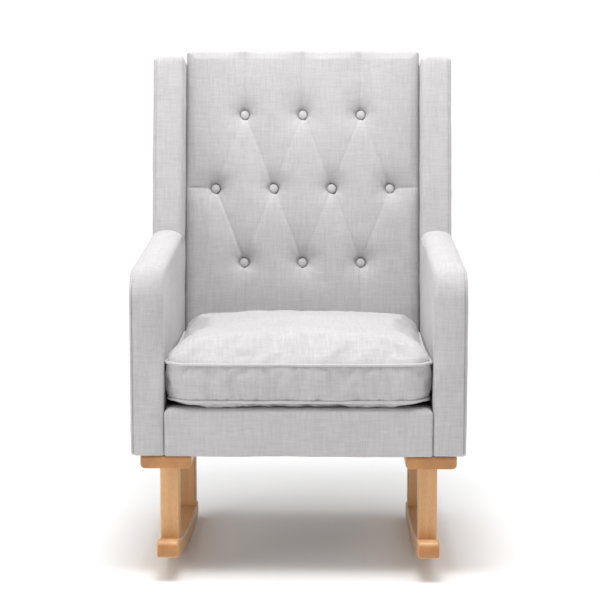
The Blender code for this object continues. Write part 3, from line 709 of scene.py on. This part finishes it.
def add_buttons():
    """Cloth-covered buttons: a domed face, a tight rim and a tucked-in back."""
    profile = [
        (0.0000, 0.0032), (0.0025, 0.0031), (0.0050, 0.0027), (0.0072, 0.0020), (0.0088, 0.0009),
        (0.0097, -0.0004), (0.0099, -0.0018), (0.0092, -0.0030), (0.0074, -0.0035), (0.0, -0.0035),
    ]
    count = 36
    for number in range(1, 11):
        node = f"tuft_button_{number:02d}"
        low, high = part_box(node)
        centre = (low + high) / 2
        facing = Vector((0.0, -math.cos(RECLINE), math.sin(RECLINE)))
        up = Vector((0.0, math.sin(RECLINE), math.cos(RECLINE)))
        shape = bmesh.new()
        rings = []
        for radius, height in profile:
            if radius == 0.0:
                rings.append([shape.verts.new(centre + facing * height)])
                continue
            ring = []
            for step in range(count):
                angle = 2 * math.pi * step / count
                fold = 1.0 + 0.012 * math.sin(12 * angle + number) * (1.0 if height < 0.002 else 0.2)
                away = Vector((1.0, 0.0, 0.0)) * math.cos(angle) + up * math.sin(angle)
                ring.append(shape.verts.new(centre + facing * height + away * radius * fold))
            rings.append(ring)
        skin(shape, rings)
        add_piece(f"covered_button_{number:02d}", shape, PIPING, "chair", [node])


def add_outside_back():
    """The plain rear cover, pulled tight over the frame with soft turned edges."""
    foot_w = 0.003
    inner_v, outer_v = BACK_DEPTH - 0.007, BACK_DEPTH
    corners = [
        back_point(inner_v, foot_w), back_point(outer_v, foot_w),
        back_point(outer_v, BACK_HEIGHT), back_point(inner_v, BACK_HEIGHT),
    ]
    lines = rounded_lines(outline(corners, 60), (0.0025, 0.0030, 0.0, 0.0))
    edges = alike(top=(0.016, 0.014), front=(0.004, 0.0), rear=(0.007, 0.003), bottom=(0.006, 0.003))

    def relief(across, y, z, weights):
        w = (z - BACK_Z) / math.cos(RECLINE)
        rise = np.clip(w / BACK_HEIGHT, 0.0, 1.0)
        swell = 0.0022 * np.sin(math.pi * rise) ** 0.5 * (1 - (abs(across) / PANEL_HALF) ** 4)
        pull = 0.0005 * np.sin(across * 55.0 + 1.3) * np.exp(-((w - 0.04) / 0.10) ** 2)
        return weights["rear"] ** 2 * (swell + pull)

    shape = soft_block(
        lines, (4, 96), -PANEL_HALF, PANEL_HALF, edges, spacing=0.009, relief=relief, lean=RECLINE
    )
    turned_to(shape, "yzx")
    cover = add_piece("outside_back_cover", shape, FABRIC, "chair", ["outside_back"])


# Seat cushion -----------------------------------------------------------------------------------

CUSHION_LOW, CUSHION_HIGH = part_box("seat_cushion")
CUSHION_MIDDLE = (CUSHION_LOW + CUSHION_HIGH) / 2
CUSHION_HALF = ((CUSHION_HIGH.x - CUSHION_LOW.x) / 2, (CUSHION_HIGH.y - CUSHION_LOW.y) / 2)
CUSHION_CORNER = 0.032
TOP_CROWN, BOTTOM_CROWN = 0.0425, 0.0131
CUSHION_COLUMNS, CUSHION_ROWS = 84, 78
FILL_LIMIT, FILL_FRAMES = 0.012, 20  # furthest that filling moves a point, and its length


def cushion_plan(u, v, grow=0.0, height=1.0):
    """A point of the cushion's plan for u and v from -1 to 1, with rounded corners and drawn-in sides.

    height runs from 0 at the lower seam, which has rounder corners, to 1 at the upper one.
    """
    radius = CUSHION_CORNER + 0.014 * (1 - height) + grow
    tuck = 0.0025 * (1 - height)
    half_x, half_y = CUSHION_HALF[0] + grow - tuck, CUSHION_HALF[1] + grow - tuck
    x, y = abs(u) * half_x, abs(v) * half_y
    p, q = (x - (half_x - radius)) / radius, (y - (half_y - radius)) / radius
    if p > 0 and q > 0:
        squeeze = max(p, q) / math.hypot(p, q)
        x, y = half_x - radius + p * radius * squeeze, half_y - radius + q * radius * squeeze
    x -= 0.0022 * u * u * math.cos(math.pi / 2 * v) ** 2
    x += 0.0014 * u * u * smooth_step(-v, 0.2, 0.9)
    y -= (0.0012 if v < 0 else 0.0025) * v * v * math.cos(math.pi / 2 * u) ** 2
    return CUSHION_MIDDLE.x + math.copysign(x, u), CUSHION_MIDDLE.y + math.copysign(y, v)


def corner_lift(u, v):
    """The seams ride up a little towards the cushion's corners."""
    return 0.0028 * abs(u) ** 5 * abs(v) ** 5


def top_crown(u, v):
    """Share of the top's rise: less at the sides, rolled over at the front and full behind."""
    roll = 7 if v < 0 else 24
    return (1 - 0.34 * u * u) * (1 - abs(u) ** 30) ** 0.4 * (1 - abs(v) ** roll) ** 0.48


def bottom_crown(u, v):
    """Share of the underside's sag: full along the middle, drawn up to the seam at the corners."""
    return (1 - abs(u) ** 4.2) * (1 - abs(v) ** 44) ** 0.5


def grid_places(count):
    """Places from -1 to 1, closer together near the seams."""
    even = np.linspace(-1.0, 1.0, count + 1)
    return even + 0.13 * np.sin(math.pi * even) * np.abs(even)


def cushion_shape():
    """The stuffed case: crowned top and bottom joined by a box band, sewn at two seams."""
    us, vs = grid_places(CUSHION_COLUMNS), grid_places(CUSHION_ROWS)
    shape = bmesh.new()
    sheets = {}
    for level, height in (("upper", 1.0), ("lower", 0.0)):
        for i, u in enumerate(us):
            for j, v in enumerate(vs):
                x, y = cushion_plan(u, v, height=height)
                rise = TOP_CROWN * top_crown(u, v) if height else -BOTTOM_CROWN * bottom_crown(u, v)
                z = SEAM_ZS[level] + corner_lift(u, v) + rise
                sheets[level, i, j] = shape.verts.new((x, y, z))
        for i in range(CUSHION_COLUMNS):
            for j in range(CUSHION_ROWS):
                shape.faces.new([
                    sheets[level, i, j], sheets[level, i + 1, j],
                    sheets[level, i + 1, j + 1], sheets[level, i, j + 1],
                ])
    rim = rim_of(CUSHION_COLUMNS, CUSHION_ROWS)
    rows = 11
    bands = [[sheets["lower", i, j] for i, j in rim]]
    for row in range(1, rows):
        share = row / rows
        belly = 0.0042 * math.sin(math.pi * share) ** 0.7
        band = []
        for i, j in rim:
            u, v = us[i], vs[j]
            x, y = cushion_plan(u, v, belly, share)
            z = SEAM_ZS["lower"] + share * (SEAM_ZS["upper"] - SEAM_ZS["lower"]) + corner_lift(u, v)
            band.append(shape.verts.new((x, y, z)))
        bands.append(band)
    bands.append([sheets["upper", i, j] for i, j in rim])
    skin(shape, bands)
    seam = [vert for band in (bands[0], bands[-1]) for vert in band]
    return shape, seam


def inflate(item, pinned):
    """Fill the case by cloth simulation between its pinned seams, and keep it above the deck."""
    mesh = item.data
    start = np.array([vert.co for vert in mesh.vertices])
    group = item.vertex_groups.new(name="seams")
    group.add(pinned, 1.0, "REPLACE")
    cloth = item.modifiers.new("cloth", "CLOTH")
    settings = cloth.settings
    settings.vertex_group_mass = "seams"
    settings.use_pressure = True
    settings.uniform_pressure_force = 4.0
    settings.effector_weights.gravity = 0.0
    settings.shrink_min = -0.03
    settings.quality = 6
    settings.mass = 0.3
    settings.tension_stiffness = settings.compression_stiffness = 40.0
    settings.shear_stiffness = 15.0
    settings.bending_stiffness = 2.0
    cloth.point_cache.frame_start, cloth.point_cache.frame_end = 1, FILL_FRAMES
    for number in range(1, FILL_FRAMES + 1):
        bpy.context.scene.frame_set(number)
    filled = item.evaluated_get(bpy.context.evaluated_depsgraph_get()).data
    step = np.array([vert.co for vert in filled.vertices]) - start
    item.modifiers.remove(cloth)
    item.vertex_groups.remove(group)
    bpy.context.scene.frame_set(1)
    length = np.linalg.norm(step, axis=1, keepdims=True)
    moved = start + step * np.minimum(1.0, FILL_LIMIT / np.maximum(length, 1e-9))
    moved[:, 2] = np.maximum(moved[:, 2], CUSHION_LOW_Z)
    mesh.vertices.foreach_set("co", moved.ravel())
    mesh.update()


def keep_above_deck(shape):
    for vert in shape.verts:
        vert.co.z = max(vert.co.z, CUSHION_LOW_Z)


def add_cushion():
    shape, seam = cushion_shape()
    keep_above_deck(shape)
    soften(shape, 0.110, 0.0016, 41)
    soften(shape, 0.030, 0.00035, 42)
    keep_above_deck(shape)
    shape.verts.index_update()
    pinned = [vert.index for vert in seam]
    cushion = add_piece("seat_cushion_case", shape, FABRIC, "cushion", ["seat_cushion"])
    inflate(cushion, pinned)


def add_piping(level):
    """A covered cord sewn into a seam of the cushion."""
    us, vs = grid_places(CUSHION_COLUMNS), grid_places(CUSHION_ROWS)
    sides = 12
    centres = []
    for i, j in rim_of(CUSHION_COLUMNS, CUSHION_ROWS):
        u, v = us[i], vs[j]
        x, y = cushion_plan(u, v, 0.0020, 1.0 if level == "upper" else 0.0)
        wander = noise.noise(Vector((x * 14.0, y * 14.0, 3.0 if level == "upper" else 9.0)))
        z = SEAM_ZS[level] + corner_lift(u, v) + 0.0006 * wander
        centres.append(Vector((x, y, z)))
    shape = bmesh.new()
    rings = []
    total = len(centres)
    for index, centre in enumerate(centres):
        ahead = (centres[(index + 1) % total] - centres[index - 1]).normalized()
        out = Vector((ahead.y, -ahead.x, 0.0)).normalized()
        rise = ahead.cross(out).normalized()
        thick = 0.0029 * (1.0 + 0.05 * noise.noise(centre * 60.0))
        ring = []
        for step in range(sides):
            angle = 2 * math.pi * step / sides
            ring.append(shape.verts.new(centre + thick * (out * math.cos(angle) + rise * math.sin(angle))))
        rings.append(ring)
    skin(shape, rings + rings[:1])
    add_piece(f"{level}_welt", shape, PIPING, "cushion", [f"{level}_piping"])


def box_into(shape, low, high):
    """A small box with bevelled edges, added to a mesh."""
    low, high = Vector(low), Vector(high)
    made = bmesh.ops.create_cube(shape, size=1.0)["verts"]
    size, middle = high - low, (low + high) / 2
    for vert in made:
        vert.co = Vector(a * b for a, b in zip(vert.co, size)) + middle
    edges = list({edge for vert in made for edge in vert.link_edges})
    bmesh.ops.bevel(
        shape, geom=edges, offset=min(size) * 0.22, offset_type="OFFSET", segments=2, profile=0.5,
        affect="EDGES",
    )


def add_zip():
    """A zip in the rear band: two tapes, meshed teeth and a slider with its pull."""
    low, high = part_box("cushion_zip")
    middle_z = (low.z + high.z) / 2
    face_y = high.y + 0.0030
    tape = bmesh.new()
    for sign in (-1, 1):
        zs = sorted((middle_z + sign * 0.0016, middle_z + sign * 0.0105))
        box_into(tape, (low.x, face_y - 0.0012, zs[0]), (high.x, face_y, zs[1]))
    add_piece("zip_tape", tape, LINING, "cushion", ["cushion_zip"])
    teeth = bmesh.new()
    pitch = 0.0036
    count = int((high.x - low.x - 0.020) / pitch)
    for index in range(count):
        x = low.x + 0.010 + index * pitch
        shift = 0.0007 if index % 2 else -0.0007
        box_into(
            teeth, (x, face_y - 0.0010, middle_z + shift - 0.0017),
            (x + 0.0022, face_y + 0.0007, middle_z + shift + 0.0017),
        )
    slider_x = high.x - 0.018
    box_into(
        teeth, (slider_x, face_y - 0.0006, middle_z - 0.0042),
        (slider_x + 0.0095, face_y + 0.0022, middle_z + 0.0042),
    )
    box_into(
        teeth, (slider_x - 0.0200, face_y + 0.0020, middle_z - 0.0026),
        (slider_x + 0.0020, face_y + 0.0032, middle_z + 0.0026),
    )
    add_piece("zip_teeth", teeth, STEEL, "cushion", crisp=True)


# Under the cushion and under the seat --------------------------------------------------------------

def close_sheet(shape, grid, cols, rows):
    """The faces of a thin sheet: its two grids of points and the rim between them."""
    for k in (0, 1):
        for i in range(cols):
            for j in range(rows):
                shape.faces.new((grid[i, j, k], grid[i + 1, j, k], grid[i + 1, j + 1, k], grid[i, j + 1, k]))
    rim = rim_of(cols, rows)
    for index, (i, j) in enumerate(rim):
        k, m = rim[(index + 1) % len(rim)]
        shape.faces.new((grid[i, j, 0], grid[k, m, 0], grid[k, m, 1], grid[i, j, 1]))


def add_deck():
    """The seat platform: cloth over wadding, a little hollow between the rails, hemmed all round."""
    low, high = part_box("seat_deck")
    shape = bmesh.new()
    cols, rows = 64, 56
    grid = {}
    for i in range(cols + 1):
        for j in range(rows + 1):
            u, v = 2 * i / cols - 1, 2 * j / rows - 1
            x = (low.x + high.x) / 2 + u * (high.x - low.x) / 2
            y = (low.y + high.y) / 2 + v * (high.y - low.y) / 2
            sag = 0.0035 * (1 - u * u) * (1 - v * v)
            hem = 0.0006 * math.exp(-(((1 - max(abs(u), abs(v))) - 0.055) / 0.010) ** 2)
            grid[i, j, 1] = shape.verts.new((x, y, high.z - 0.0003 - sag - hem))
            grid[i, j, 0] = shape.verts.new((x, y, low.z + 0.0002))
    close_sheet(shape, grid, cols, rows)
    deck = add_piece("seat_platform", shape, DECK, "chair", ["seat_deck"])


def add_dust_cover():
    """Thin cloth stapled under the seat frame, with a few slack ripples."""
    box_low, box_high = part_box("dust_cover")
    margin = 0.030
    low_x, high_x = box_low.x - margin, box_high.x + margin
    low_y, high_y = box_low.y - 0.028, box_high.y + 0.018
    shape = bmesh.new()
    cols, rows = 60, 56
    grid = {}
    for i in range(cols + 1):
        for j in range(rows + 1):
            u, v = 2 * i / cols - 1, 2 * j / rows - 1
            x = (low_x + high_x) / 2 + u * (high_x - low_x) / 2
            y = (low_y + high_y) / 2 + v * (high_y - low_y) / 2
            slack = (1 - u ** 4) * (1 - v ** 4)
            z = BODY_Z - 0.0003 - slack * (0.0012 + 0.0010 * noise.noise(Vector((x * 9, y * 9, 1.0))))
            grid[i, j, 0] = shape.verts.new((x, y, z))
            grid[i, j, 1] = shape.verts.new((x, y, z + 0.0005))
    close_sheet(shape, grid, cols, rows)
    cover = add_piece("dust_cloth", shape, LINING, "chair", ["dust_cover"])
    staples = bmesh.new()
    inset, half_crown, half_wire = 0.006, 0.005, 0.00045
    crown_low, crown_high = BODY_Z - 0.0015, BODY_Z - 0.0004
    count = 11
    for step in range(count):
        share = (step + 0.5) / count
        x = low_x + share * (high_x - low_x)
        y = low_y + share * (high_y - low_y)
        for edge_y in (low_y + inset, high_y - inset):
            box_into(
                staples, (x - half_crown, edge_y - half_wire, crown_low),
                (x + half_crown, edge_y + half_wire, crown_high),
            )
        for edge_x in (low_x + inset, high_x - inset):
            box_into(
                staples, (edge_x - half_wire, y - half_crown, crown_low),
                (edge_x + half_wire, y + half_crown, crown_high),
            )
    add_piece("dust_cloth_staples", staples, STEEL, "chair", crisp=True)


# Rocker base ------------------------------------------------------------------------------------

def even_edges(radius, square=()):
    """The same rounding on every side, apart from the sides that stay square."""
    return {side: ((radius, 0.0 if side in square else radius),) * 2 for side in SIDES}


def add_runner(side):
    node = f"{side}_runner"
    low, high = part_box(node)
    toe_y, heel_y = low.y, high.y
    ys = [toe_y + (heel_y - toe_y) * step / 110 for step in range(111)]
    bottom = [(y, runner_z(y)) for y in ys]
    top = [(y, runner_z(y, RUNNER_THICKNESS)) for y in ys[::-1]]
    rear, front = straight(bottom[-1], top[0], 8), straight(top[-1], bottom[0], 8)
    lines = rounded_lines([bottom, rear, top, front], (0.006, 0.012, 0.018, 0.007))
    shape = soft_block(lines, (120, 12), low.x, high.x, even_edges(0.0042), power=2.0, spacing=0.012)
    add_piece(f"{side}_rocker", turned_to(shape, "yzx"), BEECH_Y, "chair", [node], crisp=True)


def add_leg(side, place):
    node = f"{side}_{place}_leg"
    low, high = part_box(node)
    tenon = 0.013
    foot_ys = [low.y + (high.y - low.y) * step / 12 for step in range(13)]
    bottom = [(y, runner_z(y, RUNNER_THICKNESS) - 0.0002) for y in foot_ys]
    top_z = high.z - tenon + 0.0002
    rear, front = straight(bottom[-1], (high.y, top_z), 30), straight((low.y, top_z), bottom[0], 30)
    top = straight((high.y, top_z), (low.y, top_z), 12)
    shape = soft_block(
        [bottom, rear, top, front], (8, 30), low.x, high.x, even_edges(0.0028, ("top", "bottom")),
        power=2.0, spacing=0.010,
    )
    add_piece(f"{side}_{place}_post", turned_to(shape, "yzx"), BEECH_Z, "chair", [node], crisp=True)


def add_plank(side):
    node = f"{side}_mounting_plank"
    low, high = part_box(node)
    corners = [(low.x, low.z), (high.x, low.z), (high.x, high.z), (low.x, high.z)]
    lines = rounded_lines(outline(corners, 12), (0.009, 0.002, 0.002, 0.009))
    shape = soft_block(lines, (18, 10), low.y, high.y, even_edges(0.0030), power=2.0, spacing=0.015)
    add_piece(f"{side}_bearer", turned_to(shape, "xzy"), BEECH_Y, "chair", [node], crisp=True)


def add_bolt(node, name):
    """A button-head bolt with a hexagon socket, seen from below."""
    low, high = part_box(node)
    middle = (low + high) / 2
    radius, head = 0.0075, 0.0042
    socket, depth = 0.0026, 0.0024
    rings_at = [
        (socket, depth - head, True), (socket, -head + 0.0002, True), (socket + 0.0006, -head, False),
        (0.0046, -head, False), (0.0060, -0.0037, False), (0.0070, -0.0026, False), (radius, -0.0014, False),
        (radius, 0.0, False), (0.0030, 0.0, False), (0.0030, 0.0160, False),
    ]
    count = 36
    foot_z = low.z + head
    shape = bmesh.new()
    rings = []
    for size, height, hexagonal in rings_at:
        ring = []
        for step in range(count):
            angle = 2 * math.pi * step / count
            away = size
            if hexagonal:
                flat = (angle % (math.pi / 3)) - math.pi / 6
                away = size * math.cos(math.pi / 6) / math.cos(flat) * 1.08
            x, y = middle.x + away * math.cos(angle), middle.y + away * math.sin(angle)
            ring.append(shape.verts.new((x, y, foot_z + height)))
        rings.append(ring)
    skin(shape, rings)
    shape.faces.new(rings[0])
    shape.faces.new(rings[-1][::-1])
    add_piece(name, shape, STEEL, "chair", [node], crisp=True)


def finish_hidden_nodes():
    """CAD pieces that keep their shape get their finish: plywood, springs and lining."""
    looks = {
        "frame_wood": PLYWOOD, "steel": STEEL, "dark_lining": LINING, "grey_fabric": FABRIC, "beech": BEECH_Y,
    }
    slots = {row["node"]: row["material_slot"] for row in frame["record"]["subparts"]}
    for name, item in frame["nodes"].items():
        if item.hide_render:
            continue
        item.data.materials.clear()
        item.data.materials.append(looks[slots[name]])


# Studio -----------------------------------------------------------------------------------------

def add_light(name, place, target, size, energy, colour):
    data = bpy.data.lights.new(name, "AREA")
    data.shape = "DISK"
    data.size = size
    data.energy = energy
    data.color = colour
    item = bpy.data.objects.new(name, data)
    item.location = place
    item.rotation_euler = (Vector(target) - Vector(place)).to_track_quat("-Z", "Y").to_euler()
    bpy.context.scene.collection.objects.link(item)


def add_studio():
    floor = bmesh.new()
    bmesh.ops.create_grid(floor, x_segments=1, y_segments=1, size=40.0)
    mesh = bpy.data.meshes.new("floor")
    floor.to_mesh(mesh)
    floor.free()
    item = bpy.data.objects.new("floor", mesh)
    bpy.context.scene.collection.objects.link(item)
    paint = Shader("studio_floor_painted_shade", Roughness=0.9, Emission_Color=(1.0, 1.0, 1.0, 1.0), Emission_Strength=0.06)
    place = paint.node("ShaderNodeTexCoord").outputs["Object"]
    patches = paint.spread(paint.noise(place, (1.5, 1.5, 1.5), 2.0), 0.3, 0.7, -0.03, 0.03)
    # Painted shade and light: the floor's colour runs from 0.85 near the chair to 0.97 far off, by distance
    # from the middle, darkening the floor shadow and lifting the far floor.
    away = paint.node("ShaderNodeVectorMath", {0: place}, operation="LENGTH").outputs["Value"]
    tone = paint.math("ADD", paint.spread(away, 0.7, 3.0, 0.0, 1.0), patches)
    paint.set("Base Color", paint.ramp(tone, [(0.0, (0.85, 0.85, 0.85)), (1.0, (0.97, 0.97, 0.97))]))
    mesh.materials.append(paint.material)

    world = bpy.data.worlds.new("studio")
    world.use_nodes = True
    background = world.node_tree.nodes["Background"]
    background.inputs["Color"].default_value = (1.0, 1.0, 1.0, 1.0)
    seen = world.node_tree.nodes.new("ShaderNodeLightPath").outputs["Is Camera Ray"]
    strength = world.node_tree.nodes.new("ShaderNodeMapRange")
    strength.inputs["To Min"].default_value = 0.54
    strength.inputs["To Max"].default_value = 1.05
    world.node_tree.links.new(seen, strength.inputs["Value"])
    world.node_tree.links.new(strength.outputs["Result"], background.inputs["Strength"])
    bpy.context.scene.world = world
    bpy.context.scene.view_settings.view_transform = "Standard"
    add_light("key", (0.02, -0.36, 2.40), (0.0, 0.0, 0.5), 1.1, 33.0, (1.0, 1.0, 1.0))
    add_light("side", (-2.2, -1.7, 1.1), (0.0, 0.0, 0.3), 1.6, 12.5, (1.0, 0.985, 0.965))
    sky = bpy.data.lights.new("overhead", "SUN")
    sky.energy, sky.angle = 1.5, math.radians(55.0)
    item = bpy.data.objects.new("overhead", sky)
    item.rotation_euler = (math.radians(-3.0), math.radians(-3.0), 0.0)
    bpy.context.scene.collection.objects.link(item)


def add_camera():
    data = bpy.data.cameras.new("camera")
    data.lens, data.sensor_width = 100.94, 36.0
    camera = bpy.data.objects.new("camera", data)
    camera.location = (0.0529, -3.4740, 0.9047)
    camera.rotation_euler = (math.radians(90.0 - 6.743), 0.0, math.radians(0.9065))
    bpy.context.scene.collection.objects.link(camera)
    bpy.context.scene.camera = camera


def main():
    add_camera()
    add_studio()
    for side, sign in (("left", -1), ("right", 1)):
        add_arm(side, sign)
        add_wing(side, sign)
        add_runner(side)
        add_leg(side, "front")
        add_leg(side, "rear")
        add_plank(side)
        for place in ("front", "rear"):
            for where in ("rail", "arm"):
                add_bolt(f"{side}_{place}_{where}_bolt", f"{side}_{place}_{where}_screw")
    add_rail_cover()
    add_back_panel()
    add_buttons()
    add_outside_back()
    add_cushion()
    for level in ("lower", "upper"):
        add_piping(level)
    add_zip()
    add_deck()
    add_dust_cover()
    finish_hidden_nodes()


main()
